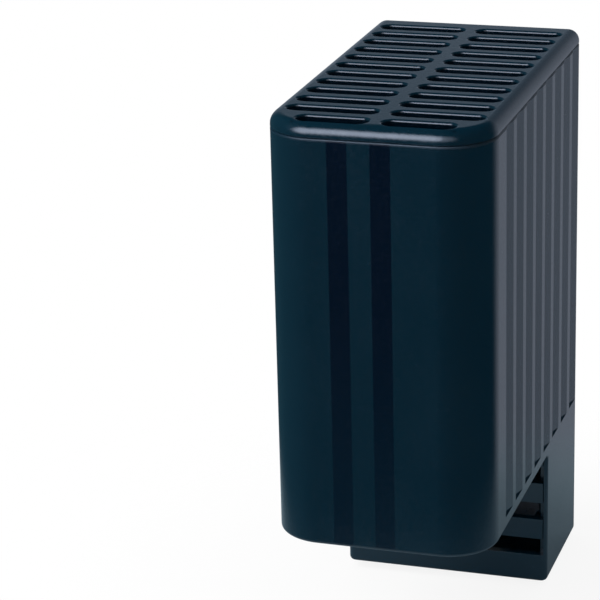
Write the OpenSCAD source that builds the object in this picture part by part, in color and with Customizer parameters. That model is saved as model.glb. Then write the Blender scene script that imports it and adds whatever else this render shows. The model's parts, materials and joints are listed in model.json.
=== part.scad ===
// Enclosure heater for a mounting rail: a finned heat sink with a ceramic
// element stands in a slotted plastic housing, with its terminals in a box
// under the rear. Millimetres. The origin is the middle of the rail's front
// face, +Z is up and the front of the heater looks along -Y.

/* [Body] */
// Overall width of the housing
body_w = 60.9; // [56:0.1:66]
// Depth of the housing, front face to rear face
body_d = 115.8; // [108:0.1:128]
// Height from the flat top to the lower rim of the shell
body_h = 117.9; // [112:0.1:136]
// Radius of the front vertical corners
front_r = 13.7; // [9:0.1:14.5]
// Radius of the rear vertical corners
rear_r = 3.4; // [3.4:0.1:5]
// Wall thickness of the shell
wall = 2.6; // [2.4:0.1:3]
// Rounding of the shell's lower outer edge in front of the terminal box
foot_r = 1; // [0.6:0.1:1.4]
// Least radius of a corner drawn in from the outline
inner_r = 0.5; // [0.3:0.1:0.8]
// Rounding of the shell's upper outer edge, below the seam
brow_r = 0.5; // [0.3:0.1:0.8]
// Flat top down to the centre line of the rail
rail_drop = 52; // [46:1:60]
// Clearance between plastic parts that fit together
fit = 0.2; // [0.1:0.05:0.3]

/* [Side flutes] */
// Front face to the first flute
flute_start = 22.1; // [20:0.1:25]
// Distance from flute to flute
flute_pitch = 11.68; // [10:0.02:13]
// Width of the flat ridge between two flutes
ridge_w = 3.4; // [2:0.2:4]
// Depth of a flute beside its ridge
flute_depth = 1.1; // [0.6:0.1:1.4]
// Height of the plain rim under the flutes
rim_h = 3.5; // [2:0.1:4]

/* [Top grille] */
// Height of the visible rim of the grille
cap_h = 3.8; // [3.6:0.1:6]
// Rounding of the upper edge
edge_r = 3.3; // [2.5:0.1:3.3]
// Thickness of the slotted plate
cap_t = 3; // [2.4:0.2:3.6]
// Width of a slot
slot_w = 5.4; // [4.6:0.1:6]
// Distance from slot row to slot row
slot_pitch = 9.05; // [8:0.05:11]
// Front face to the middle of the first slot row
slot_front = 5.6; // [5.4:0.1:8]
// Smallest distance from the last slot row to the rear face
slot_rear = 8; // [7:0.5:12]
// Bar between the two slot columns
slot_bridge = 3.6; // [2:0.1:4]
// Side face to the end of a slot
slot_side = 3.9; // [3.4:0.1:5]
// Side face to the end of a slot in the first row
corner_side = 9.2; // [8:0.1:11]
// Depth of the skirt inside the shell
skirt_h = 6; // [5:0.2:8]
// Thickness of that skirt
skirt_t = 1.6; // [1.2:0.1:2]
// Chamfered lip of a slot
slot_lip = 0.7; // [0.3:0.1:0.8]
// Open seam between the grille and the shell
seam = 0.2; // [0.2:0.05:0.5]
// Depth of that seam
seam_d = 1.3; // [0.8:0.1:1.6]
// Middle of the grille to the middle of a snap lug
lug_x = 12; // [8:0.5:13]
// Length of a snap lug
lug_l = 10; // [6:1:12]
// Height of a snap lug
lug_h = 1.6; // [1.2:0.1:2]
// Reach of a snap lug into the shell
lug_p = 0.7; // [0.4:0.1:0.9]

/* [Intake grille] */
// Lower rim up to the underside of the intake grille
intake_recess = 6; // [5:0.2:8]
// Thickness of the intake grille
intake_t = 3; // [2.4:0.2:4]
// Front face to the first intake slot row
intake_front = 22; // [20:1:26]
// Side face to the end of an intake slot
intake_side = 9; // [8.5:0.5:12]

/* [Screw bosses] */
// Inner side wall to the middle of a boss
boss_in = 3; // [2.9:0.05:3.2]
// Radius of a boss
boss_r = 3.6; // [3.4:0.1:4]
// Height of a boss
boss_h = 9; // [8:0.5:12]
// Front face to the middle of the front bosses
boss_front = 14; // [13.5:0.5:15]
// Rear face to the middle of the rear bosses
boss_rear = 8; // [7.5:0.5:10]

/* [Screws] */
// Radius of the screw shanks
screw_r = 1.5; // [1.25:0.05:1.5]
// Radius of the screw heads
head_r = 2.8; // [2.6:0.1:2.9]
// Height of a pan head
head_h = 2; // [1.6:0.1:2.4]
// Clearance round a shank in its hole
hole_fit = 0.1; // [0.05:0.05:0.15]
// Length of thread inside a boss
bite = 6.5; // [5:0.5:7]
// Free depth in front of a screw's tip
tip_room = 1; // [0.5:0.1:1.2]
// Length of the cross recess in a head
recess_l = 3.2; // [2.6:0.1:3.6]
// Width of the cross recess
recess_w = 0.9; // [0.6:0.1:1.1]
// Depth of the cross recess
recess_d = 0.9; // [0.6:0.1:1]

/* [Heat sink] */
// Air gap between the heat sink and the shell
sink_gap = 7; // [6:0.5:8]
// Thickness of the middle web that holds the element
core_w = 13; // [11:0.5:16]
// Thickness of a fin
fin_t = 1.6; // [1.2:0.1:2.2]
// Distance from fin to fin
fin_pitch = 7.2; // [6:0.2:9]

/* [Carriers] */
// Thickness of a carrier ring
carrier_t = 2.5; // [2:0.25:3.5]
// Width of the ledge under the heat sink
ledge = 2.5; // [1.5:0.25:3.5]
// Height of the collar round the heat sink
collar_h = 4; // [3:0.5:6]
// Thickness of the collar
collar_t = 1.6; // [1.2:0.1:2]
// Thickness of a carrier leg
leg_t = 2; // [1.6:0.1:2.4]
// Length of a carrier leg along the side
leg_l = 44; // [30:1:50]
// Height of the legs under the lower carrier
lower_leg = 16; // [15:0.5:20]
// Free height between the skirt and the upper carrier
upper_gap = 1.4; // [1:0.2:3]

/* [Heating element] */
// Number of ceramic tablets
tablet_count = 3; // [2:1:3]
// Width of a tablet
tablet_w = 24; // [18:1:26]
// Height of a tablet
tablet_h = 15; // [12:1:17]
// Thickness of a tablet
tablet_t = 2.2; // [1.8:0.1:2.8]
// Space between two tablets
tablet_gap = 4; // [3:0.5:5]
// Width of the frame beside the tablets
frame_w = 1.5; // [1.2:0.1:2]
// Thickness of a contact plate
contact_t = 0.5; // [0.4:0.05:0.8]
// Thickness of the insulating sleeve
sleeve_t = 0.25; // [0.2:0.05:0.5]
// Depth of an end plug inside the sink
plug_in = 2; // [1.5:0.25:3]
// Thickness of the plug's flange outside the sink
plug_out = 3; // [2:0.25:3.5]
// Width of the flange round the element slot
plug_lip = 2; // [1.5:0.25:3]
// Distance from tail to tail of the two contact plates
tail_pitch = 12; // [9:0.5:15]
// Width of a tail
tail_w = 4; // [3:0.25:5]

/* [Leads] */
// Radius of an insulated lead
lead_r = 1.1; // [0.9:0.05:1.2]
// Radius of its bare ends
wire_r = 0.6; // [0.4:0.05:0.7]
// Bend radius of the leads
bend_r = 4; // [3.5:0.1:4.5]
// Length of a crimp barrel
barrel_l = 4; // [3:0.25:4.5]
// Wall of a crimp barrel
barrel_t = 0.8; // [0.6:0.05:1]
// Depth of the bore in a crimp barrel
barrel_bore = 2.8; // [2:0.1:2.9]
// Lap of a contact's tail on its crimp barrel
tail_lap = 1; // [0.6:0.1:1.4]
// Length of bare wire in a crimp barrel
wire_in = 2; // [1.5:0.1:2]
// Length of bare wire in a clamp
wire_out = 5.6; // [4:0.2:6]

/* [Terminal box] */
// Depth of the box
box_d = 42.1; // [40:0.1:46]
// Height of the box below the shell
box_h = 40.1; // [38:0.1:48]
// Wall thickness of the box
box_wall = 2.4; // [2:0.1:2.8]
// Radius of the box's front upright edges
box_r = 2; // [1.4:0.1:2.3]
// Rounding of the box's lower edge
box_edge = 1.4; // [0.6:0.1:1.4]
// Height of the closed front lip
lip_h = 8.6; // [6:0.2:9]
// Width of the cheek edge beside the louvres
cheek_w = 1; // [0.8:0.1:1.4]
// Box bottom to the first louvre bar
bar_start = 13.9; // [12.5:0.1:15]
// Height of a louvre bar
bar_h = 6.2; // [5:0.1:7]
// Distance from bar to bar
bar_pitch = 11.5; // [10:0.1:12.5]
// Middle of the louvre panel to each of its two ribs
rib_x = 9; // [6:0.5:12]
// Width of the ribs behind the bars
rib_w = 1.8; // [1.2:0.1:2.4]
// Width of the lugs behind the ends of the bars
lug_w = 1.6; // [1.2:0.1:2.4]
// Thickness of the side wall between the bars and the grooves
shoulder_t = 1.6; // [1.2:0.1:2]
// Depth of the grooves in the side walls
groove_d = 1.2; // [0.8:0.1:1.4]
// Thickness of the louvre panel's tongues in the grooves
guide_t = 1.4; // [1:0.1:2]
// Radius of the screw columns
column_r = 4.2; // [4:0.1:4.6]
// Box bottom up to the screw seats
seat_h = 24; // [18:1:28]

/* [Terminals] */
// Distance between the two poles
pole_pitch = 13; // [13:0.25:15]
// Rear face to the poles
pole_rear = 12; // [11.5:0.25:14]
// Outer radius of a brass clamp
clamp_r = 3.2; // [2.8:0.1:3.3]
// Bore radius of a brass clamp
clamp_bore = 1.9; // [1.6:0.1:2.1]
// Height of the terminal block
block_h = 20; // [18:0.5:22]
// Box floor up to the terminal block
block_rise = 8; // [6:0.5:9]
// Wall of the terminal block round the clamps
block_wall = 1.5; // [1.2:0.1:2]
// Height of the pedestal behind the block
pedestal_h = 3; // [2:0.25:4]
// Radius of the terminal screws
grub_r = 1.25; // [1:0.05:1.3]
// Distance between the two screws of a pole
grub_pitch = 8.5; // [7:0.25:9]
// Width of the slot in a terminal screw
grub_slot = 0.5; // [0.4:0.05:0.7]
// Depth of the slot in a terminal screw
grub_cut = 1; // [0.6:0.1:1.2]
// Skin left behind the pilot hole of the block's screw
skin = 0.8; // [0.6:0.1:1]
// Radius of the cable opening
cable_r = 3.5; // [2.5:0.25:4.5]
// Wall of the rubber grommets
grommet_t = 2.4; // [2:0.1:3]
// Height of a grommet's lips
grommet_lip = 1.8; // [1.4:0.1:2.4]
// Middle of the cable opening in front of the poles
cable_ahead = 12; // [11:0.5:14]

/* [Rail clip] */
// Width of the rail
rail_w = 35; // [35:0.5:36]
// Thickness of the rail
rail_t = 1; // [0.8:0.1:1.5]
// Play of the rail in the clip
rail_play = 0.3; // [0.2:0.05:0.5]
// Thickness of the clip
clip_t = 2; // [1.8:0.1:2.5]
// Width of the clip
clip_w = 36; // [28:1:44]
// Width over the two lower fingers
latch_w = 26; // [20:1:28]
// Width of the release tab between them
tab_w = 10; // [8:0.5:12]
// Slit beside the release tab
slit_w = 1; // [0.6:0.1:1.5]
// Grip of the hooks over the rail
hook_grip = 3.2; // [2:0.2:4]
// Length of the release tab below the rail
tab_l = 9; // [6:0.5:12]
// Rail centre line to the clip screws
clip_screw = 9; // [8:0.5:11]
// Length of the clip's bosses inside the shell
clip_boss = 5; // [4.5:0.25:5.5]

/* [Hidden] */
$fn = 64;
eps = 0.05;
plastic = "#16232d";

// Main planes of the housing
y_rear = -clip_t;
y_front = y_rear - body_d;
y_mid = (y_front + y_rear) / 2;
z_top = rail_drop;
z_rim = z_top - body_h;
z_seam = z_top - cap_h;
z_box = z_rim - box_h;
inner_w = body_w / 2 - wall;
skirt_in = wall + fit + skirt_t;
rear_land = rear_r + fit;

// Patterns that follow the depth of the body
flute_l = flute_pitch - ridge_w;
flute_count = floor((body_d - rear_land - flute_start + ridge_w) / flute_pitch);
slot_rows = 1 + floor((body_d - slot_front - slot_rear) / slot_pitch);

// Levels of the stack between the two grilles
z_plate = z_rim + intake_recess;
z_floor = z_plate + intake_t;
z_ceiling = z_top - cap_t;
upper_leg = cap_h - cap_t + skirt_h + upper_gap;
z_sink = z_floor + lower_leg + carrier_t;
z_sink_top = z_ceiling - upper_leg - carrier_t;
sink_h = z_sink_top - z_sink;
sink_w = body_w - 2 * (wall + sink_gap);
sink_d = body_d - 2 * (wall + sink_gap);
fin_count = 1 + floor((sink_d - fin_t) / fin_pitch);
leg_x = body_w / 2 - skirt_in - 2 * fit - leg_t;

// Layers of the heating element, counted outwards from its middle
contact_x = tablet_t / 2;
sleeve_x = contact_x + contact_t;
channel_x = sleeve_x + sleeve_t;
frame_y = tablet_w / 2 + frame_w;
channel_y = frame_y + sleeve_t;
z_stack = z_sink + plug_in;
stack_h = sink_h - 2 * plug_in;
tablet_pitch = tablet_h + tablet_gap;
barrel_r = wire_r + hole_fit + barrel_t;
z_barrel = z_sink - plug_out;
z_lead = z_barrel - barrel_l;

// Screw places, as [x, y]
boss_x = inner_w - boss_in;
front_bosses = [for (s = [-1, 1]) [s * boss_x, y_front + boss_front]];
rear_bosses = [for (s = [-1, 1]) [s * boss_x, y_rear - boss_rear]];
hole_r = screw_r + hole_fit;
pilot_l = bite + tip_room;

// Terminal box and what stands in it
y_box = y_rear - box_d;
cover_x = body_w / 2 - cheek_w - fit;
guide_x = body_w / 2 - box_wall - fit;
gap_count = 1 + floor((box_h - bar_start) / bar_pitch);
y_groove = y_box + box_wall + fit + shoulder_t;
y_pole = y_rear - pole_rear;
pole_x = pole_pitch / 2;
block_back = y_rear - box_wall - pedestal_h;
block_front = y_pole - clamp_r - hole_fit - 2 * block_wall;
block_x = pole_x + clamp_r + hole_fit + block_wall;
z_block = z_box + box_wall + block_rise;
z_block_mid = z_block + block_h / 2;
clamp_l = block_h - 2 * block_wall;
grub_z = grub_pitch / 2;
y_cable = y_pole - cable_ahead;
lead_hole_r = lead_r + hole_fit;
bush_r = lead_hole_r + grommet_t / 2;

// Rail clip
hook_z = rail_w / 2 + rail_play;
lip_y = rail_t + rail_play;
sink_head_h = head_r - screw_r;

// Outline with its own front and rear corner radii, hw is half its width
module outline(hw, front, rear, rf, rr) {
    translate([-hw, front + rf]) square([2 * hw, rear - rr - front - rf]);
    translate([rf - hw, front]) square([2 * (hw - rf), rf]);
    translate([rr - hw, rear - rr]) square([2 * (hw - rr), rr]);
    for (s = [-1, 1]) {
        translate([s * (hw - rf), front + rf]) circle(rf);
        translate([s * (hw - rr), rear - rr]) circle(rr);
    }
}

// Plan of the body, drawn in by inset on every side
module plan(inset) {
    outline(body_w / 2 - inset, y_front + inset, y_rear - inset,
        max(front_r - inset, inner_r), max(rear_r - inset, inner_r));
}

// Slab of the body's plan between two levels
module slab(inset, low, high) {
    translate([0, 0, low]) linear_extrude(high - low) plan(inset);
}

// Half section of a slot through a plate of thickness t, with a lip chamfered up to z = 0
module slot_section(t, lip) {
    r = slot_w / 2;
    polygon([[0, -t - eps], [r, -t - eps], [r, -lip], [r + lip + eps, eps], [0, eps]]);
}

// Pair of slots with round ends, one on each side of the middle bar
module slot_pair(side, t, lip) {
    r = slot_w / 2;
    x_in = slot_bridge / 2 + r;
    x_out = body_w / 2 - side - r;
    for (s = [0, 1]) mirror([s, 0, 0]) {
        for (x = [x_in, x_out]) translate([x, 0, 0]) rotate_extrude() slot_section(t, lip);
        translate([x_in, 0, 0]) rotate([90, 0, 90]) linear_extrude(x_out - x_in) {
            slot_section(t, lip);
            mirror([1, 0]) slot_section(t, lip);
        }
    }
}

// Box from its low corner to its high corner
module block(low, high) {
    translate(low) cube(high - low);
}

// Bar along Y, from y0 towards -Y
module rod_y(x, y0, z, r, l) {
    translate([x, y0, z]) rotate([90, 0, 0]) cylinder(h = l, r = r);
}

// Cross recess in a screw head, cut downwards from z = 0
module cross_recess() {
    for (a = [0, 90]) rotate([0, 0, a])
        translate([-recess_l / 2, -recess_w / 2, -recess_d]) cube([recess_l, recess_w, recess_d + eps]);
}

// Screw standing on its head: the shank points up from z = 0
module pan_screw(l) {
    difference() {
        union() {
            translate([0, 0, -head_h]) cylinder(h = head_h, r = head_r);
            cylinder(h = l, r = screw_r);
        }
        translate([0, 0, -head_h]) mirror([0, 0, 1]) cross_recess();
    }
}

// Section of a rim with its upper edge rounded, u counts outwards and v upwards
module rim_section(r, h, edge) {
    square([r, h - edge]);
    square([r - edge, h]);
    translate([r - edge, h - edge]) intersection() {
        circle(edge);
        square(edge);
    }
}

// Solid on z = 0 over the plan of the body or the box, with its upper edge rounded
module rounded_solid(front, rf, h, edge) {
    hw = body_w / 2;
    for (s = [0, 1]) mirror([s, 0, 0]) {
        translate([hw - rf, front + rf]) rotate([0, 0, -90])
            rotate_extrude(angle = 90) rim_section(rf, h, edge);
        translate([hw - rear_r, y_rear - rear_r])
            rotate_extrude(angle = 90) rim_section(rear_r, h, edge);
    }
    translate([hw - rf, front + rf]) rotate([90, 0, -90])
        linear_extrude(2 * (hw - rf)) rim_section(rf, h, edge);
    translate([rear_r - hw, y_rear - rear_r]) rotate([90, 0, 90])
        linear_extrude(2 * (hw - rear_r)) rim_section(rear_r, h, edge);
    translate([0, y_rear - rear_r]) rotate([90, 0, 0])
        linear_extrude(y_rear - rear_r - front - rf) {
            rim_section(hw, h, edge);
            mirror([1, 0]) rim_section(hw, h, edge);
        }
}

// Places of the snap lugs on the front and rear walls
module at_lugs() {
    for (x = [-lug_x, lug_x], y = [y_front + wall, y_rear - wall])
        translate([x, y, z_seam - skirt_h + lug_h]) children();
}

// Saw-tooth flutes of the right side: deep behind a ridge, running out forwards of the next
module flute_cuts() {
    for (i = [0 : flute_count - 1])
        translate([body_w / 2, y_front + flute_start + i * flute_pitch, z_rim + rim_h])
            linear_extrude(body_h)
                polygon([[eps, 0], [-flute_depth, 0], [eps, flute_l * (1 + eps / flute_depth)]]);
}

module housing_shell() color(plastic) difference() {
    union() {
        difference() {
            union() {
                rounded_solid(y_front, front_r, z_seam - seam, brow_r);
                mirror([0, 0, 1]) rounded_solid(y_front, front_r, -z_rim, foot_r);
                intersection() {
                    slab(0, z_rim, 0);
                    block([-body_w / 2, y_box, z_rim], [body_w / 2, y_rear, 0]);
                }
            }
            slab(wall, z_rim - eps, z_top);
        }
        for (p = concat(front_bosses, rear_bosses)) translate([p.x, p.y, z_floor])
            cylinder(h = boss_h, r = boss_r);
        for (z = [-clip_screw, clip_screw]) rod_y(0, y_rear - wall / 2, z, boss_r, clip_boss + wall / 2);
    }
    for (s = [0, 1]) mirror([s, 0, 0]) flute_cuts();
    for (p = concat(front_bosses, rear_bosses)) translate([p.x, p.y, z_floor - eps])
        cylinder(h = pilot_l, r = hole_r);
    for (z = [-clip_screw, clip_screw]) rod_y(0, y_rear + eps, z, hole_r, pilot_l);
    at_lugs() block([-lug_l / 2 - fit, -lug_p - fit, -lug_h - fit], [lug_l / 2 + fit, lug_p + fit, fit]);
}

module top_grille() color(plastic) difference() {
    union() {
        translate([0, 0, z_seam]) rounded_solid(y_front, front_r, cap_h, edge_r);
        slab(seam_d, z_seam - seam, z_seam);
        slab(wall + fit, z_seam - skirt_h, z_seam);
        at_lugs() block([-lug_l / 2, -lug_p, -lug_h], [lug_l / 2, lug_p, 0]);
    }
    slab(skirt_in, z_seam - skirt_h - eps, z_ceiling);
    for (i = [0 : slot_rows - 1]) translate([0, y_front + slot_front + i * slot_pitch, z_top])
        slot_pair(i == 0 ? corner_side : slot_side, cap_t, slot_lip);
}

// The plate's rib closes the terminal box above the louvre panel
module intake_grille() color(plastic) {
    rows = floor((body_d - box_d - intake_front) / slot_pitch);
    side = inner_w - 2 * fit;
    difference() {
        union() {
            slab(wall + fit, z_plate, z_floor);
            block([-side, y_box, z_rim], [side, y_box + box_wall, z_plate + eps]);
        }
        for (i = [0 : rows - 1]) translate([0, y_front + intake_front + i * slot_pitch, z_plate])
            mirror([0, 0, 1]) slot_pair(intake_side, intake_t, slot_lip);
        for (p = concat(front_bosses, rear_bosses)) translate([p.x, p.y, z_plate - eps])
            cylinder(h = intake_t + 2 * eps, r = hole_r);
        for (s = [-1, 1]) translate([s * pole_x, y_pole, z_plate - eps])
            cylinder(h = intake_t + 2 * eps, r = bush_r);
    }
}

module grille_screws() color("silver")
    for (p = front_bosses) translate([p.x, p.y, z_plate]) pan_screw(intake_t + bite);

// Plan of the terminal box, drawn in by inset
module box_plan(inset) {
    least = fit / 2;
    outline(body_w / 2 - inset, y_box + inset, y_rear - inset,
        max(box_r - inset, least), max(rear_r - inset, least));
}

module terminal_box() color(plastic) difference() {
    spigot_r = boss_in - fit;
    union() {
        difference() {
            translate([0, 0, z_rim]) mirror([0, 0, 1]) rounded_solid(y_box, box_r, box_h, box_edge);
            translate([0, 0, z_box + box_wall]) linear_extrude(box_h) box_plan(box_wall);
        }
        for (p = rear_bosses) translate([p.x, p.y, z_box]) {
            intersection() {
                cylinder(h = box_h - fit, r = column_r);
                translate([-p.x, -p.y]) linear_extrude(box_h) box_plan(box_wall / 2);
            }
            cylinder(h = box_h + intake_recess, r = spigot_r);
        }
        rod_y(0, y_rear - box_wall / 2, z_block_mid, boss_r, pedestal_h + box_wall / 2);
    }
    block([-cover_x - fit, y_box - eps, z_box + lip_h], [cover_x + fit, y_groove - shoulder_t, z_rim + eps]);
    for (s = [0, 1]) mirror([s, 0, 0])
        block([guide_x + fit - eps, y_groove, z_box + lip_h],
            [guide_x + fit + groove_d, y_groove + guide_t + 2 * fit, z_rim + eps]);
    for (p = rear_bosses) translate([p.x, p.y, z_box - eps]) {
        cylinder(h = box_h + intake_recess + 2 * eps, r = hole_r);
        cylinder(h = seat_h + eps, r = head_r + fit);
    }
    translate([0, y_cable, z_box - eps]) cylinder(h = box_wall + 2 * eps, r = cable_r + grommet_t / 2);
    rod_y(0, y_rear - skin, z_block_mid, hole_r, pilot_l);
}

module box_screws() color("silver")
    for (p = rear_bosses) translate([p.x, p.y, z_box + seat_h])
        pan_screw(box_h - seat_h + intake_recess + intake_t + bite);

// Bars over the whole width, joined by two ribs, with lugs and a tongue in the box's groove at each end
module louvre_panel() color(plastic) {
    back = y_box + box_wall;
    low = z_box + bar_start;
    high = z_rim - fit;
    y_end = y_groove + fit + guide_t;
    difference() {
        union() {
            block([-cover_x, y_box, low], [cover_x, back, high]);
            for (s = [0, 1]) mirror([s, 0, 0])
                block([guide_x - lug_w, back - eps, low], [guide_x, y_end, high]);
        }
        for (i = [1 : gap_count - 1])
            block([-cover_x - eps, y_box - eps, low + (i - 1) * bar_pitch + bar_h],
                [cover_x + eps, y_end + eps, low + i * bar_pitch]);
    }
    for (s = [0, 1]) mirror([s, 0, 0]) {
        block([rib_x - rib_w / 2, back - eps, low], [rib_x + rib_w / 2, y_end, high]);
        block([guide_x - eps, y_groove + fit, z_box + lip_h + fit], [guide_x + groove_d, y_end, high]);
    }
}

// Rubber ring in a plate: bore, groove and a lip on each side, standing on z = 0 of the plate
module grommet(bore, groove_r, plate, lip) {
    lip_r = groove_r + grommet_t / 2;
    cut = lip / 3;
    rotate_extrude() polygon([
        [bore, -lip], [lip_r - cut, -lip], [lip_r, -cut], [lip_r, 0], [groove_r, 0],
        [groove_r, plate], [lip_r, plate], [lip_r, plate + cut], [lip_r - cut, plate + lip],
        [bore, plate + lip]]);
}

module cable_grommet() color("#1b1b1c")
    translate([0, y_cable, z_box]) grommet(cable_r, cable_r + grommet_t / 2, box_wall, grommet_lip);

module lead_bushes() color("#8a3b2a")
    for (s = [-1, 1]) translate([s * pole_x, y_pole, z_plate])
        grommet(lead_hole_r, bush_r, intake_t, grommet_t / 2);

// Quarter turn of the clip's strip, r is the inner radius
module quarter_bend(r) difference() {
    intersection() {
        circle(r + clip_t);
        square(r + clip_t);
    }
    circle(r);
}

// Section of a hook: over the rail's edge and down behind it
module hook_section() {
    mid = lip_y / 2;
    translate([mid, 0]) for (s = [0, 1]) mirror([s, 0]) quarter_bend(mid);
    translate([lip_y, -rail_play - hook_grip]) square([clip_t, rail_play + hook_grip]);
}

// One folded strip: back plate, a wide upper hook, two lower fingers and a release tab between them
module rail_clip() color("lightgray") difference() {
    union() {
        translate([-clip_w / 2, 0, 0]) rotate([90, 0, 90]) linear_extrude(clip_w) {
            translate([-clip_t, -hook_z]) square([clip_t, 2 * hook_z]);
            translate([0, hook_z]) hook_section();
        }
        for (s = [0, 1]) mirror([s, 0, 0]) translate([tab_w / 2 + slit_w, 0, -hook_z]) rotate([90, 0, 90])
            linear_extrude((latch_w - tab_w) / 2 - slit_w) mirror([0, 1]) hook_section();
        block([-tab_w / 2, -clip_t, -hook_z - tab_l], [tab_w / 2, 0, -hook_z]);
    }
    for (z = [-clip_screw, clip_screw]) {
        rod_y(0, eps, z, hole_r, clip_t + 2 * eps);
        translate([0, eps, z]) rotate([90, 0, 0])
            cylinder(h = sink_head_h + eps, r1 = head_r + hole_fit + eps, r2 = screw_r + hole_fit);
    }
}

module clip_screws() color("silver")
    for (z = [-clip_screw, clip_screw]) translate([0, 0, z]) rotate([90, 0, 0]) difference() {
        union() {
            cylinder(h = sink_head_h, r1 = head_r, r2 = screw_r);
            cylinder(h = clip_t + bite, r = screw_r);
        }
        mirror([0, 0, 1]) cross_recess();
    }

module heat_sink() color("#b9bec2") translate([0, y_mid, z_sink]) linear_extrude(sink_h) {
    first = -(fin_count - 1) / 2 * fin_pitch;
    difference() {
        union() {
            square([core_w, sink_d], center = true);
            for (i = [0 : fin_count - 1]) translate([0, first + i * fin_pitch])
                square([sink_w, fin_t], center = true);
        }
        square([2 * channel_x, 2 * channel_y], center = true);
    }
}

// Ring that holds one end of the heat sink: the sink stands on z = 0, the legs point down
module carrier(leg_h) {
    hold_w = sink_w + 2 * fit;
    hold_d = sink_d + 2 * fit;
    difference() {
        translate([0, 0, -carrier_t]) linear_extrude(carrier_t) plan(wall + fit);
        translate([0, y_mid, -carrier_t / 2])
            cube([sink_w - 2 * ledge, sink_d - 2 * ledge, carrier_t + 2 * eps], center = true);
    }
    translate([0, y_mid, 0]) linear_extrude(collar_h) difference() {
        square([hold_w + 2 * collar_t, hold_d + 2 * collar_t], center = true);
        square([hold_w, hold_d], center = true);
    }
    for (s = [0, 1]) mirror([s, 0, 0])
        block([leg_x, y_mid - leg_l / 2, -carrier_t - leg_h], [leg_x + leg_t, y_mid + leg_l / 2, -carrier_t]);
}

module lower_carrier() color("#3a3f44") translate([0, 0, z_sink]) carrier(lower_leg);

module upper_carrier() color("#3a3f44") translate([0, 0, z_sink_top]) mirror([0, 0, 1]) carrier(upper_leg);

// Places of the tablets along the element
module at_tablets() {
    for (i = [0 : tablet_count - 1])
        translate([0, y_mid, z_stack + stack_h / 2 + (i - (tablet_count - 1) / 2) * tablet_pitch]) children();
}

module ceramic_tablets() color("#55504c")
    at_tablets() cube([tablet_t, tablet_w, tablet_h], center = true);

module tablet_frame() color("ivory") difference() {
    translate([-contact_x, y_mid - frame_y, z_stack]) cube([tablet_t, 2 * frame_y, stack_h]);
    at_tablets() cube([tablet_t + 2 * eps, tablet_w + 2 * eps, tablet_h + 2 * eps], center = true);
}

// Contact plate on the right face of the tablets, with a tail and a crimp barrel
module contact(side) {
    tail_y = side * tail_pitch / 2;
    tail_x = contact_x + contact_t / 2;
    block([contact_x, -frame_y, z_stack], [sleeve_x, frame_y, z_stack + stack_h]);
    block([contact_x, tail_y - tail_w / 2, z_barrel - tail_lap],
        [sleeve_x, tail_y + tail_w / 2, z_stack + eps]);
    difference() {
        translate([tail_x, tail_y, z_lead]) cylinder(h = barrel_l, r = barrel_r);
        translate([tail_x, tail_y, z_lead - eps]) cylinder(h = barrel_bore + eps, r = wire_r + hole_fit);
    }
}

module line_contact() color("goldenrod") translate([0, y_mid, 0]) mirror([1, 0, 0]) contact(-1);

module neutral_contact() color("goldenrod") translate([0, y_mid, 0]) contact(1);

module insulating_sleeve() color("#c98a2b") translate([0, y_mid, z_stack])
    linear_extrude(stack_h) difference() {
        square([2 * channel_x, 2 * channel_y], center = true);
        square([2 * sleeve_x, 2 * frame_y], center = true);
    }

// Plug for one end of the element slot: a flange outside the sink and a foot inside it
module end_plug() {
    translate([-channel_x - plug_lip, -channel_y - plug_lip, -plug_out])
        cube([2 * (channel_x + plug_lip), 2 * (channel_y + plug_lip), plug_out]);
    translate([-channel_x, -channel_y, -eps]) cube([2 * channel_x, 2 * channel_y, plug_in + eps]);
}

module lower_plug() color("#8a3b2a") difference() {
    translate([0, y_mid, z_sink]) end_plug();
    for (s = [0, 1]) translate([0, y_mid, 0]) rotate([0, 0, 180 * s])
        block([contact_x - hole_fit, (tail_pitch - tail_w) / 2 - hole_fit, z_barrel - eps],
            [sleeve_x + hole_fit, (tail_pitch + tail_w) / 2 + hole_fit, z_stack + eps]);
}

module upper_plug() color("#8a3b2a") translate([0, y_mid, z_sink_top]) mirror([0, 0, 1]) end_plug();

// Insulated lead: down from its crimp barrel, along to its pole and down into the clamp
module lead(side) {
    start = [side * (contact_x + contact_t / 2), y_mid + side * tail_pitch / 2];
    end = [side * pole_x, y_pole];
    run = norm(end - start);
    z_run = z_lead - bend_r - lead_r;
    z_end = z_block + block_h - block_wall / 2;
    translate([start.x, start.y, 0]) rotate([0, 0, atan2(end.y - start.y, end.x - start.x)]) {
        translate([0, 0, z_lead - lead_r]) cylinder(h = lead_r + wire_in, r = wire_r);
        translate([0, 0, z_run + bend_r]) cylinder(h = lead_r, r = lead_r);
        translate([bend_r, 0, z_run + bend_r]) rotate([90, 0, 0]) rotate([0, 0, 180])
            rotate_extrude(angle = 90) translate([bend_r, 0]) circle(lead_r);
        translate([bend_r, 0, z_run]) rotate([0, 90, 0]) cylinder(h = run - 2 * bend_r, r = lead_r);
        translate([run - bend_r, 0, z_run - bend_r]) rotate([90, 0, 0])
            rotate_extrude(angle = 90) translate([bend_r, 0]) circle(lead_r);
        translate([run, 0, z_end]) cylinder(h = z_run - bend_r - z_end, r = lead_r);
        translate([run, 0, z_end - wire_out]) cylinder(h = wire_out + lead_r, r = wire_r);
    }
}

module line_lead() color("#6b1f1f") lead(-1);

module neutral_lead() color("#1f3f6b") lead(1);

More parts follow.
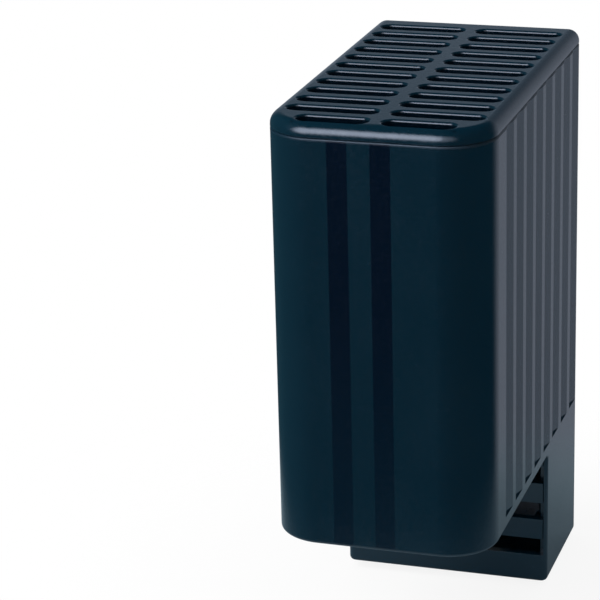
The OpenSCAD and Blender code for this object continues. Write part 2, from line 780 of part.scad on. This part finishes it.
module terminal_block() color("#dcdcd4") difference() {
    block([-block_x, block_front, z_block], [block_x, block_back, z_block + block_h]);
    for (s = [-1, 1]) {
        translate([s * pole_x, y_pole, z_block - eps])
            cylinder(h = block_h + 2 * eps, r = clamp_r + hole_fit);
        for (z = [-grub_z, grub_z])
            rod_y(s * pole_x, y_pole, z_block_mid + z, grub_r + 2 * hole_fit, y_pole - block_front + eps);
    }
    rod_y(0, block_back + eps, z_block_mid, hole_r, block_back - block_front + 2 * eps);
    rod_y(0, block_front + block_wall + head_h, z_block_mid, head_r + hole_fit, block_wall + head_h + eps);
}

module terminal_clamps() color("#c9a03f") for (s = [-1, 1]) difference() {
    translate([s * pole_x, y_pole, z_block_mid - clamp_l / 2]) cylinder(h = clamp_l, r = clamp_r);
    translate([s * pole_x, y_pole, z_block_mid - clamp_l / 2 - eps])
        cylinder(h = clamp_l + 2 * eps, r = clamp_bore);
    for (z = [-grub_z, grub_z]) rod_y(s * pole_x, y_pole, z_block_mid + z, grub_r + hole_fit, clamp_r + eps);
}

module terminal_screws() color("silver") for (s = [-1, 1], z = [-grub_z, grub_z])
    translate([s * pole_x, block_front + block_wall, z_block_mid + z]) rotate([-90, 0, 0]) difference() {
        cylinder(h = y_pole - wire_r - block_front - block_wall - hole_fit, r = grub_r);
        translate([-grub_r - eps, -grub_slot / 2, -eps])
            cube([2 * (grub_r + eps), grub_slot, grub_cut + eps]);
    }

module block_screw() color("silver")
    translate([0, block_front + block_wall + head_h, z_block_mid]) rotate([-90, 0, 0])
        pan_screw(block_back - block_front - block_wall - head_h + pedestal_h);

housing_shell();
top_grille();
intake_grille();
grille_screws();
terminal_box();
box_screws();
louvre_panel();
cable_grommet();
rail_clip();
clip_screws();
heat_sink();
lower_carrier();
upper_carrier();
ceramic_tablets();
tablet_frame();
line_contact();
neutral_contact();
insulating_sleeve();
lower_plug();
upper_plug();
line_lead();
neutral_lead();
lead_bushes();
terminal_block();
terminal_clamps();
terminal_screws();
block_screw();
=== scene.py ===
import json
import math

import bmesh
import bpy
from mathutils import Matrix, Vector


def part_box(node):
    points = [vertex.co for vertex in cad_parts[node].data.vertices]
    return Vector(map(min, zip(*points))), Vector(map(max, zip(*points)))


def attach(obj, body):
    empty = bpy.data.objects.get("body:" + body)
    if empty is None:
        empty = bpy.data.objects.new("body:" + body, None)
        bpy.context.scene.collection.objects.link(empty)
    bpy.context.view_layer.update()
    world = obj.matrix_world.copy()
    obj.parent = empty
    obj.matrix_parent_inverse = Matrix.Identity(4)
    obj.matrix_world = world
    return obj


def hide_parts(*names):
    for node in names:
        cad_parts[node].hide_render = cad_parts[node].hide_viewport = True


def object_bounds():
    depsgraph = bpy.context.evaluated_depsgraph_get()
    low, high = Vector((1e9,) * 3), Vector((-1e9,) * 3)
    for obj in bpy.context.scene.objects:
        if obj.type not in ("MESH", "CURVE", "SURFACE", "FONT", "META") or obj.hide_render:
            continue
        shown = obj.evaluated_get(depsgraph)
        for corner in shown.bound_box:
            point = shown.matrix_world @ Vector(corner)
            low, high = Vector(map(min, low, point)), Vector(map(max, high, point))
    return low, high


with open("model.json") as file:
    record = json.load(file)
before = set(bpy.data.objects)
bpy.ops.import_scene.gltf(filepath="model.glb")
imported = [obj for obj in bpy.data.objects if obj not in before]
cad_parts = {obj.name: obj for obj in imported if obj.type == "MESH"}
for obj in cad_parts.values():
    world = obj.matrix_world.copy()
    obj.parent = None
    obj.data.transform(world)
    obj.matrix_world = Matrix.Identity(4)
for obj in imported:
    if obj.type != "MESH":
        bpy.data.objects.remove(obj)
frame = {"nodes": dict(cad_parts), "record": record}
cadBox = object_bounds()
nodes = frame["nodes"]
slotOf = {part["node"]: part["material_slot"] for part in frame["record"]["subparts"]}
shellLow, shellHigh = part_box("housing_shell")
lidLow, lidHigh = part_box("top_grille")
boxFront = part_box("terminal_box")[0].y
scene = bpy.context.scene
scene.view_settings.view_transform = "Standard"
mm = 0.001
print("frame loaded,", len(nodes), "nodes")


class Wire:  # one socket of a shader tree, with maths
    def __init__(self, tree, socket=None):
        self.tree = tree
        self.socket = socket

    def node(self, kind, settings=None, links=None, out=0):
        made = self.tree.nodes.new(kind)
        for key, value in (settings or {}).items():
            setattr(made, key, value)
        for key, value in (links or {}).items():
            if isinstance(value, Wire):
                self.tree.links.new(value.socket, made.inputs[key])
            else:
                made.inputs[key].default_value = value
        return Wire(self.tree, made.outputs[out] if made.outputs else None)

    def out(self, name):  # another output of the same node
        return Wire(self.tree, self.socket.node.outputs[name])

    def maths(self, operation, *values):
        return self.node("ShaderNodeMath", {"operation": operation}, dict(enumerate(values)))

    def __add__(self, other):
        return self.maths("ADD", self, other)

    def __radd__(self, other):
        return self.maths("ADD", other, self)

    def __sub__(self, other):
        return self.maths("SUBTRACT", self, other)

    def __rsub__(self, other):
        return self.maths("SUBTRACT", other, self)

    def __mul__(self, other):
        return self.maths("MULTIPLY", self, other)

    def __rmul__(self, other):
        return self.maths("MULTIPLY", other, self)

    def __abs__(self):
        return self.maths("ABSOLUTE", self)

    def most(self, other):
        return self.maths("MAXIMUM", self, other)

    def ease(self, low, high, first=0.0, last=1.0):  # smooth step from first to last
        return self.node("ShaderNodeMapRange", {"interpolation_type": "SMOOTHSTEP"},
                         {"Value": self, "From Min": low, "From Max": high, "To Min": first, "To Max": last})

    def fall(self, low, high):  # smooth step down
        return self.ease(low, high, 1.0, 0.0)

    def blend(self, start, end):  # colour between two, self is the share of the second
        return self.node("ShaderNodeMix", {"data_type": "RGBA"}, {"Factor": self, 6: start, 7: end}, out=2)

    def split(self):  # the three numbers of a place or a direction
        x = self.node("ShaderNodeSeparateXYZ", None, {"Vector": self})
        return x, x.out("Y"), x.out("Z")

    def vector(self, operation, other=None, out="Vector"):
        links = {0: self} if other is None else {0: self, 1: other}
        return self.node("ShaderNodeVectorMath", {"operation": operation}, links, out)

    def noise(self, scale, detail=2.0, stretch=(1, 1, 1)):  # self is the place
        place = self if stretch == (1, 1, 1) else self.vector("MULTIPLY", stretch)
        return self.node("ShaderNodeTexNoise", None,
                         {"Vector": place, "Scale": scale, "Detail": detail}, out="Fac")


# Camera, fitted to the edges and the slot rows of the photograph

cameraView = {
    "place": (0.18066, -0.73070, 0.23183),
    "azimuth": 18.10,  # degrees
    "elevation": 19.47,
    "roll": -1.5,
    "lens": 156.73,
    "sensor": 36.0,
    "clipStart": 0.01,
}


def addCamera(view):
    turn, rise, roll = (math.radians(view[key]) for key in ("azimuth", "elevation", "roll"))
    back = Vector((math.sin(turn) * math.cos(rise), -math.cos(turn) * math.cos(rise), math.sin(rise)))
    level = Vector((math.cos(turn), math.sin(turn), 0))
    upright = back.cross(level)
    right = level * math.cos(roll) + upright * math.sin(roll)
    up = upright * math.cos(roll) - level * math.sin(roll)
    data = bpy.data.cameras.new("camera")
    data.lens = view["lens"]
    data.sensor_width = view["sensor"]
    data.clip_start = view["clipStart"]
    camera = bpy.data.objects.new("camera", data)
    turned = Matrix((right, up, back)).transposed().to_4x4()
    camera.matrix_world = Matrix.Translation(view["place"]) @ turned
    scene.collection.objects.link(camera)
    scene.camera = camera


addCamera(cameraView)
print("camera placed")


# Studio: a soft key from the front left, a pale backdrop, a white floor and dark around them

studio = {
    "ambient": 0.70,  # light that falls on every side
    "coolness": (0.90, 0.98, 1.18, 1),  # tint of what shiny surfaces see
    "backdrop": 0.335,  # how bright they see the wall behind the object
    "backdropTurn": 0.10,  # its middle stands a little to the right
    "backdropEdge": (0.66, 0.96),
    "backdropTop": (0.04, 0.54),
    "key": 5.2,  # the soft box
    "keyToward": (-0.400, -0.815, 0.420),
    "keyEdge": (0.845, 1.0),  # cosines of its soft edge
    "tail": 1.3,  # a weaker one beside it
    "tailToward": (0.10, -0.90, 0.43),
    "tailEdge": (0.86, 0.99),
    "roomTint": (0.40, 1.0, 1.30, 1),
    "fill": 0.035,  # the room on the left
    "fillEdge": (-0.05, 0.30),
    "wall": 0.06,  # and its wall
    "wallEdge": (0.40, 0.90),
    "lampToward": (-0.64, -0.30, 0.707),
    "lampPower": 5.2,
    "lampSize": 0.5,
    "lampDistance": 0.9,
    "floorGap": 0.0003,
    "floorRadius": 0.5,
    "floorSegments": 96,
    "floorFade": (0.09, 0.17),  # it fades out between these distances
    "floorColor": (0.90, 0.90, 0.90, 1),
    "floorPale": (0.93, 0.93, 0.93, 1),
    "floorMottle": 140.0,
    "floorMirror": (0.29, 0.38, 0.44, 1),  # the floor as shiny surfaces see it
    "floorShade": 0.12,  # how much of the shadow the camera sees
}


def addWorld(look):
    world = bpy.data.worlds.new("studio")
    world.use_nodes = True
    tree = world.node_tree
    tree.nodes.clear()
    start = Wire(tree)
    ray = start.node("ShaderNodeTexCoord", out="Generated")
    x, y, z = ray.split()
    path = start.node("ShaderNodeLightPath")
    seen = path.out("Is Camera Ray")
    mirrored = path.out("Is Glossy Ray").most(path.out("Is Transmission Ray"))
    behind = (y + x * look["backdropTurn"]).ease(*look["backdropEdge"]) * z.fall(*look["backdropTop"])
    lights = behind * look["backdrop"]
    for name in ("key", "tail"):
        toward = ray.vector("DOT_PRODUCT", look[name + "Toward"], "Value")
        lights = lights + toward.ease(*look[name + "Edge"]) * look[name]
    left = 0 - x
    room = left.ease(*look["fillEdge"]) * look["fill"] + left.ease(*look["wallEdge"]) * look["wall"]
    plain = seen + (1 - seen) * (1 - mirrored) * look["ambient"]
    shiny = (1 - seen) * mirrored
    total = start.node("ShaderNodeBackground", None, {"Color": (1, 1, 1, 1), "Strength": plain})
    for tint, strength in ((look["coolness"], shiny * lights), (look["roomTint"], shiny * room)):
        glow = start.node("ShaderNodeBackground", None, {"Color": tint, "Strength": strength})
        total = start.node("ShaderNodeAddShader", None, {0: total, 1: glow})
    start.node("ShaderNodeOutputWorld", None, {"Surface": total})
    scene.world = world


def addLamp(look, target):
    data = bpy.data.lights.new("key", "AREA")
    data.shape = "SQUARE"
    data.size = look["lampSize"]
    data.energy = look["lampPower"]
    lamp = bpy.data.objects.new("key", data)
    lamp.location = target + Vector(look["lampToward"]) * look["lampDistance"]
    lamp.rotation_euler = (target - lamp.location).to_track_quat("-Z", "Y").to_euler()
    lamp.visible_glossy = False  # the world already shows it to shiny surfaces
    scene.collection.objects.link(lamp)


def floorFinish(look):
    material = bpy.data.materials.new("floor")
    material.use_nodes = True
    tree = material.node_tree
    tree.nodes.clear()
    start = Wire(tree)
    place = start.node("ShaderNodeTexCoord", out="Object")
    distance = place.vector("LENGTH", out="Value")
    path = start.node("ShaderNodeLightPath")
    seen = path.out("Is Camera Ray")
    tone = place.noise(look["floorMottle"]).blend(look["floorColor"], look["floorPale"])
    tone = path.out("Is Glossy Ray").blend(tone, look["floorMirror"])
    matt = start.node("ShaderNodeBsdfDiffuse", None, {"Color": tone})
    white = start.node("ShaderNodeEmission")
    lit = seen * (1 - look["floorShade"])
    surface = start.node("ShaderNodeMixShader", None, {0: lit, 1: matt, 2: white})
    clear = start.node("ShaderNodeBsdfTransparent")
    faded = distance.ease(*look["floorFade"])
    mixed = start.node("ShaderNodeMixShader", None, {0: faded, 1: surface, 2: clear})
    start.node("ShaderNodeOutputMaterial", None, {"Surface": mixed})
    return material


def addFloor(look, target):
    mesh = bpy.data.meshes.new("floor")
    shape = bmesh.new()
    bmesh.ops.create_circle(shape, cap_ends=True, radius=look["floorRadius"], segments=look["floorSegments"])
    shape.to_mesh(mesh)
    shape.free()
    mesh.materials.append(floorFinish(look))
    floor = bpy.data.objects.new("floor", mesh)
    floor.location = (0, target.y, cadBox[0].z - look["floorGap"])
    scene.collection.objects.link(floor)


middle = (cadBox[0] + cadBox[1]) / 2
addWorld(studio)
addLamp(studio, middle)
addFloor(studio, middle)
print("studio lit")


# Finishes

noiseMiddle = 0.5


def newFinish(name):
    material = bpy.data.materials.new(name)
    material.use_nodes = True
    shader = material.node_tree.nodes["Principled BSDF"]
    return material, shader, Wire(material.node_tree)


def feed(shader, **sockets):  # links a wire, or sets a plain value on the shader's own socket
    for key, value in sockets.items():
        socket = shader.inputs[key.replace("_", " ")]
        if isinstance(value, Wire):
            value.tree.links.new(value.socket, socket)
        else:
            socket.default_value = value


def grained(start, height, distance):
    return start.node("ShaderNodeBump", None,
                      {"Height": height, "Strength": 1.0, "Distance": distance}, out="Normal")


def edgeWear(start):
    return start.node("ShaderNodeAttribute", {"attribute_name": "edgeWear"}, out="Fac")


reflectionBandLook = {  # two bands down the shell's front: a painted reflection of dark strips as a darker colour, and a slightly smoother finish
    "color": (0.0001, 0.0038, 0.0130, 1),
    "middles": (-8.95 * mm, 2.60 * mm),
    "width": 5.45 * mm,
    "fade": 0.12 * mm,
    "facing": (-0.99, -0.94),  # y of the normal, so that only what faces ahead has them
    "foot": (0.4 * mm, 0.9 * mm),  # they begin above the lower rim
    "head": 0.1 * mm,  # and end at the seam
    "strength": (0.55, 1.0),
    "strengthens": (-70 * mm, 10 * mm),
    "smoother": 0.03,
}
slotShadeLook = {  # painted shade: darker colour inside the lid's slots
    "color": (0.0003, 0.0050, 0.0110, 1),
    "insets": ((2.85 * mm, 10.9 * mm), (8.55 * mm, 2.4 * mm)),  # rows and first row, from side and front
    "rear": 2.0 * mm,
    "depth": 12 * mm,
    "lip": (0.8 * mm, 0.1 * mm),  # fades out towards the lid's top
    "fade": 0.2 * mm,
}
browLook = {  # duller upper edge of the shell
    "below": (1.0 * mm, 0.5 * mm),
    "above": (0.1 * mm, 0.4 * mm),
    "duller": 0.28,
}
housingLook = {
    "color": (0.0007, 0.0148, 0.0282, 1),
    "pale": (0.0015, 0.0175, 0.0322, 1),  # worn edges and paler patches
    "patch": (55.0, 3.0),  # scale and detail
    "patchEdge": (0.35, 0.75),
    "patchShare": 0.4,
    "wearShare": 0.5,
    "grain": ((2400.0, 0.35), (1050.0, 0.65)),  # scale and share, fine and coarse
    "grainDetail": 1.0,
    "grainDepth": 0.030 * mm,
    "roughness": 0.20,
    "patchRoughness": 0.05,
    "grainRoughness": 0.30,
    "ior": 1.58,
}


def reflectionBandMask(look, x, z, facing):
    half, fade = look["width"] / 2, look["fade"]
    first, second = (abs(x - place).fall(half - fade, half + fade) for place in look["middles"])
    low, high = (shellLow.z + rise for rise in look["foot"])
    ends = z.ease(low, high) * z.fall(shellHigh.z, shellHigh.z + look["head"])
    strength = z.ease(*look["strengthens"], *look["strength"])
    return (first + second) * facing.fall(*look["facing"]) * ends * strength


def slotShadeMask(look, x, y, z):
    fade = look["fade"]
    areas = []
    for side, front in look["insets"]:
        half, begin = lidHigh.x - side, lidLow.y + front
        areas.append(abs(x).fall(half, half + fade) * y.ease(begin - fade, begin))
    rear, low = lidHigh.y - look["rear"], lidHigh.z - look["depth"]
    dim, gone = (lidHigh.z - depth for depth in look["lip"])
    return areas[0].most(areas[1]) * y.fall(rear, rear + fade) * z.ease(low - fade, low) * z.fall(dim, gone)


def browMask(look, z):
    low, high = (shellHigh.z - depth for depth in look["below"])
    dim, gone = (shellHigh.z + rise for rise in look["above"])
    return z.ease(low, high) * z.fall(dim, gone)


def housingPlastic(look):
    material, shader, start = newFinish("housingPlastic")
    place = start.node("ShaderNodeTexCoord", out="Object")
    x, y, z = place.split()
    facing = start.node("ShaderNodeNewGeometry", out="Normal").split()[1]
    reflectionBand = reflectionBandMask(reflectionBandLook, x, z, facing)
    patch = place.noise(*look["patch"])
    fine, coarse = (place.noise(scale, look["grainDetail"]) * share for scale, share in look["grain"])
    grain = fine + coarse
    worn = patch.ease(*look["patchEdge"]) * look["patchShare"] + edgeWear(start) * look["wearShare"]
    # the bands paint a reflection of dark strips into the colour
    color = reflectionBand.blend(worn.blend(look["color"], look["pale"]), reflectionBandLook["color"])
    # painted shade in the recesses of the lid's slots
    color = slotShadeMask(slotShadeLook, x, y, z).blend(color, slotShadeLook["color"])
    roughness = look["roughness"] + (patch - noiseMiddle) * look["patchRoughness"]
    roughness = roughness + (grain - noiseMiddle) * look["grainRoughness"]
    roughness = roughness - reflectionBand * reflectionBandLook["smoother"] + browMask(browLook, z) * browLook["duller"]
    feed(shader, Base_Color=color, Roughness=roughness, IOR=look["ior"],
         Normal=grained(start, grain, look["grainDepth"]))
    return material


plainLooks = {  # colour, paler colour, roughness, metallic, noise scale, stretch, bump depth in mm
    "carrier_plastic": ((0.01, 0.011, 0.012, 1), (0.022, 0.023, 0.024, 1), 0.55, 0.0, 1800, (1, 1, 1), 0.02),
    "block_plastic": ((0.52, 0.51, 0.46, 1), (0.60, 0.59, 0.54, 1), 0.40, 0.0, 700, (1, 1, 1), 0.008),
    "frame_plastic": ((0.60, 0.55, 0.42, 1), (0.68, 0.63, 0.50, 1), 0.45, 0.0, 900, (1, 1, 1), 0.01),
    "sleeve_film": ((0.35, 0.13, 0.015, 1), (0.43, 0.18, 0.03, 1), 0.22, 0.0, 400, (1, 1, 1), 0.006),
    "rubber": ((0.008, 0.008, 0.009, 1), (0.018, 0.018, 0.019, 1), 0.65, 0.0, 2600, (1, 1, 1), 0.02),
    "silicone": ((0.11, 0.012, 0.006, 1), (0.15, 0.020, 0.011, 1), 0.50, 0.0, 1500, (1, 1, 1), 0.015),
    "lead_line": ((0.075, 0.007, 0.005, 1), (0.10, 0.012, 0.008, 1), 0.45, 0.0, 1300, (1, 1, 1), 0.01),
    "lead_neutral": ((0.008, 0.030, 0.12, 1), (0.013, 0.045, 0.16, 1), 0.45, 0.0, 1300, (1, 1, 1), 0.01),
    "clip_steel": ((0.42, 0.43, 0.45, 1), (0.58, 0.58, 0.57, 1), 0.34, 1.0, 260, (1, 14, 14), 0.006),
    "screw_steel": ((0.45, 0.46, 0.48, 1), (0.60, 0.60, 0.58, 1), 0.30, 1.0, 900, (1, 1, 1), 0.006),
    "sink_aluminium": ((0.50, 0.51, 0.52, 1), (0.64, 0.65, 0.66, 1), 0.42, 1.0, 500, (1, 1, 0.02), 0.01),
    "tablet_ceramic": ((0.070, 0.064, 0.058, 1), (0.11, 0.10, 0.095, 1), 0.75, 0.0, 2200, (1, 1, 1), 0.03),
    "contact_brass": ((0.52, 0.33, 0.09, 1), (0.66, 0.45, 0.16, 1), 0.32, 1.0, 600, (1, 1, 0.1), 0.006),
}
plainMix = {  # how the fine and the broad noise and the wear change a plain finish
    "fineDetail": 3.0,
    "broadDetail": 2.0,
    "broader": 14,
    "fineShare": 0.55,
    "broadShare": 0.35,
    "wearShare": 0.3,
    "fineRoughness": 0.08,
    "broadRoughness": 0.16,
}


def plainFinish(name, look, mix):
    color, pale, roughness, metallic, scale, stretch, depth = look
    material, shader, start = newFinish(name)
    place = start.node("ShaderNodeTexCoord", out="Object")
    fine = place.noise(scale, mix["fineDetail"], stretch)
    broad = place.noise(scale / mix["broader"], mix["broadDetail"], stretch)
    share = fine * mix["fineShare"] + broad * mix["broadShare"] + edgeWear(start) * mix["wearShare"]
    roughness = roughness + (broad - noiseMiddle) * mix["broadRoughness"]
    roughness = roughness + (fine - noiseMiddle) * mix["fineRoughness"]
    feed(shader, Base_Color=share.blend(color, pale), Roughness=roughness, Metallic=metallic,
         Normal=grained(start, fine, depth * mm))
    return material


finishes = {"housing_plastic": housingPlastic(housingLook)}
for slot, look in plainLooks.items():
    finishes[slot] = plainFinish(slot, look, plainMix)
for name, solid in nodes.items():
    solid.material_slots[0].material = finishes[slotOf[name]]
print("finishes made,", len(finishes))


# Softened pieces: each stands for its node, with the broken edges of a moulding or a pressing

softEdges = {  # width of the rounding in mm
    "housing_shell": 0.30,
    "top_grille": 0.15,
    "intake_grille": 0.25,
    "terminal_box": 0.30,
    "louvre_panel": 0.35,
    "rail_clip": 0.20,
    "clip_screws": 0.10,
    "grille_screws": 0.20,
    "box_screws": 0.20,
    "heat_sink": 0.20,
    "lower_carrier": 0.25,
    "upper_carrier": 0.25,
    "terminal_block": 0.30,
    "cable_grommet": 0.30,
}
seamRule = {  # on the sides the lid's seam closes to a hair line
    "front": shellLow.y + 13.6 * mm,  # the sides lie between these
    "rear": shellHigh.y - 3.5 * mm,
    "side": shellHigh.x - 0.55 * mm,
    "lidRim": shellHigh.z + 0.2 * mm,
    "brow": shellHigh.z - 0.45 * mm,  # the shell's rounded brow lies above
    "gap": 0.03 * mm,
    "near": 0.01 * mm,
    "fluteLean": (0.10, 0.16),  # y of the normal of a flute's floor
    "fluteArea": 50 * mm * mm,
}
lipRule = {  # chamfers of the slots that become quarter rounds
    "reach": 0.7 * mm,
    "cuts": 3,
    "near": 0.01 * mm,
    "slope": (0.64, 0.77),  # z of the normals of a chamfer, a wall and the top
    "wall": 0.05,
    "top": 0.99,
}
flatRule = {  # large flat faces of the shell's sides, shaded flat so that the flutes stay crisp
    "front": shellLow.y + 14.8 * mm,
    "area": 50 * mm * mm,
    "lean": 0.98,
}
softRule = {
    "flush": (shellLow.z, boxFront + 1.1 * mm),  # the flush joint of shell and box stays sharp
    "near": 0.05 * mm,
    # no edge above these is rounded
    "tops": {"housing_shell": shellHigh.z - 0.65 * mm, "top_grille": shellHigh.z - 0.01 * mm},
    "weld": 0.001 * mm,
    "flat": math.radians(0.15),  # facets nearer to one plane than this are joined first
    "sharp": math.radians(28),  # edges sharper than this are rounded
    "segments": 3,
    "wear": (1.0, 0.3),  # within a rounding and at its border
    "crisp": math.radians(50),  # edges left sharper than this are shaded sharp
}


def sideVerts(shape, rule):
    return [v for v in shape.verts if rule["front"] < v.co.y < rule["rear"] and abs(v.co.x) > rule["side"]]


def lowerLid(shape, rule):
    for vert in sideVerts(shape, rule):
        if abs(vert.co.z - rule["lidRim"]) < rule["near"]:
            vert.co.z = shellHigh.z + rule["gap"]
    shape.normal_update()


def straightenBrow(shape, rule):
    least, greatest = rule["fluteLean"]

    def isFluteFloor(face):
        return least < abs(face.normal.y) < greatest and face.calc_area() > rule["fluteArea"]

    for vert in sideVerts(shape, rule):
        if vert.co.z > rule["brow"]:
            if any(isFluteFloor(face) for face in vert.link_faces):
                vert.co.z = shellHigh.z
            else:
                vert.co.x = math.copysign(shellHigh.x, vert.co.x)
    shape.normal_update()


def roundLips(shape, rule):
    reach, near = rule["reach"], rule["near"]
    low = lidHigh.z - reach
    least, greatest = rule["slope"]

    def isSloped(face):
        return least < face.normal.z < greatest and all(v.co.z > low - near for v in face.verts)

    def isClear(vert):  # no face of the lid's rounded edge meets it
        others = [face.normal.z for face in vert.link_faces if not isSloped(face)]
        return all(abs(lean) < rule["wall"] or lean > rule["top"] for lean in others)

    def isSlanted(edge):
        first, second = edge.verts
        return (abs(first.co.z - second.co.z) > reach / 2 and all(isSloped(face) for face in edge.link_faces)
                and isClear(first) and isClear(second))

    slanted = [edge for edge in shape.edges if isSlanted(edge)]
    bmesh.ops.subdivide_edges(shape, edges=slanted, cuts=rule["cuts"], use_grid_fill=True)
    shape.normal_update()
    moves = []
    for vert in shape.verts:
        if low + near < vert.co.z < lidHigh.z - near and all(isSloped(face) for face in vert.link_faces):
            share = (vert.co.z - low) / reach
            turn = share * math.pi / 2
            outward = Vector((vert.normal.x, vert.normal.y, 0)).normalized()
            step = outward * (share + math.cos(turn) - 1) * reach
            step.z = (math.sin(turn) - share) * reach
            moves.append((vert, step))
    for vert, step in moves:
        vert.co += step
    shape.normal_update()


def sharpEdges(shape, rule, top):
    level, ahead = rule["flush"]

    def isFlush(edge):
        return all(abs(v.co.z - level) < rule["near"] and v.co.y > ahead for v in edge.verts)

    return [edge for edge in shape.edges
            if len(edge.link_faces) == 2 and edge.calc_face_angle() > rule["sharp"]
            and not isFlush(edge) and not any(v.co.z > top for v in edge.verts)]


def isFlatSide(face, rule):
    return (abs(face.normal.x) > rule["lean"] and face.calc_area() > rule["area"]
            and face.calc_center_median().y > rule["front"])


def softened(name, width, rule):
    shape = bmesh.new()
    shape.from_mesh(nodes[name].data)
    bmesh.ops.remove_doubles(shape, verts=shape.verts, dist=rule["weld"])
    bmesh.ops.dissolve_limit(shape, angle_limit=rule["flat"], verts=shape.verts, edges=shape.edges)
    shape.normal_update()
    wear = shape.verts.layers.float.new("edgeWear")
    if name == "housing_shell":
        straightenBrow(shape, seamRule)
    if name == "top_grille":
        lowerLid(shape, seamRule)
        roundLips(shape, lipRule)
    edges = sharpEdges(shape, rule, rule["tops"].get(name, math.inf))
    made = bmesh.ops.bevel(shape, geom=edges, offset=width * mm, segments=rule["segments"],
                           profile=0.5, affect="EDGES", clamp_overlap=True)
    bmesh.ops.dissolve_degenerate(shape, dist=rule["weld"], edges=shape.edges)
    within, border = rule["wear"]
    faces = {face for face in made["faces"] if face.is_valid}
    for vert in (v for v in made["verts"] if v.is_valid):
        vert[wear] = within if all(face in faces for face in vert.link_faces) else border
    for face in shape.faces:
        face.smooth = not (name == "housing_shell" and isFlatSide(face, flatRule))
    for edge in shape.edges:
        edge.smooth = len(edge.link_faces) != 2 or edge.calc_face_angle() < rule["crisp"]
    mesh = bpy.data.meshes.new(name + ".soft")
    shape.to_mesh(mesh)
    shape.free()
    mesh.materials.append(finishes[slotOf[name]])
    piece = bpy.data.objects.new(name + ".soft", mesh)
    scene.collection.objects.link(piece)
    normals = piece.modifiers.new("normals", "WEIGHTED_NORMAL")
    normals.keep_sharp = True
    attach(piece, "root")
    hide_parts(name)
    return len(mesh.polygons)


faceCount = sum(softened(name, width, softRule) for name, width in softEdges.items())
print("softened pieces made,", len(softEdges), "with", faceCount, "faces")
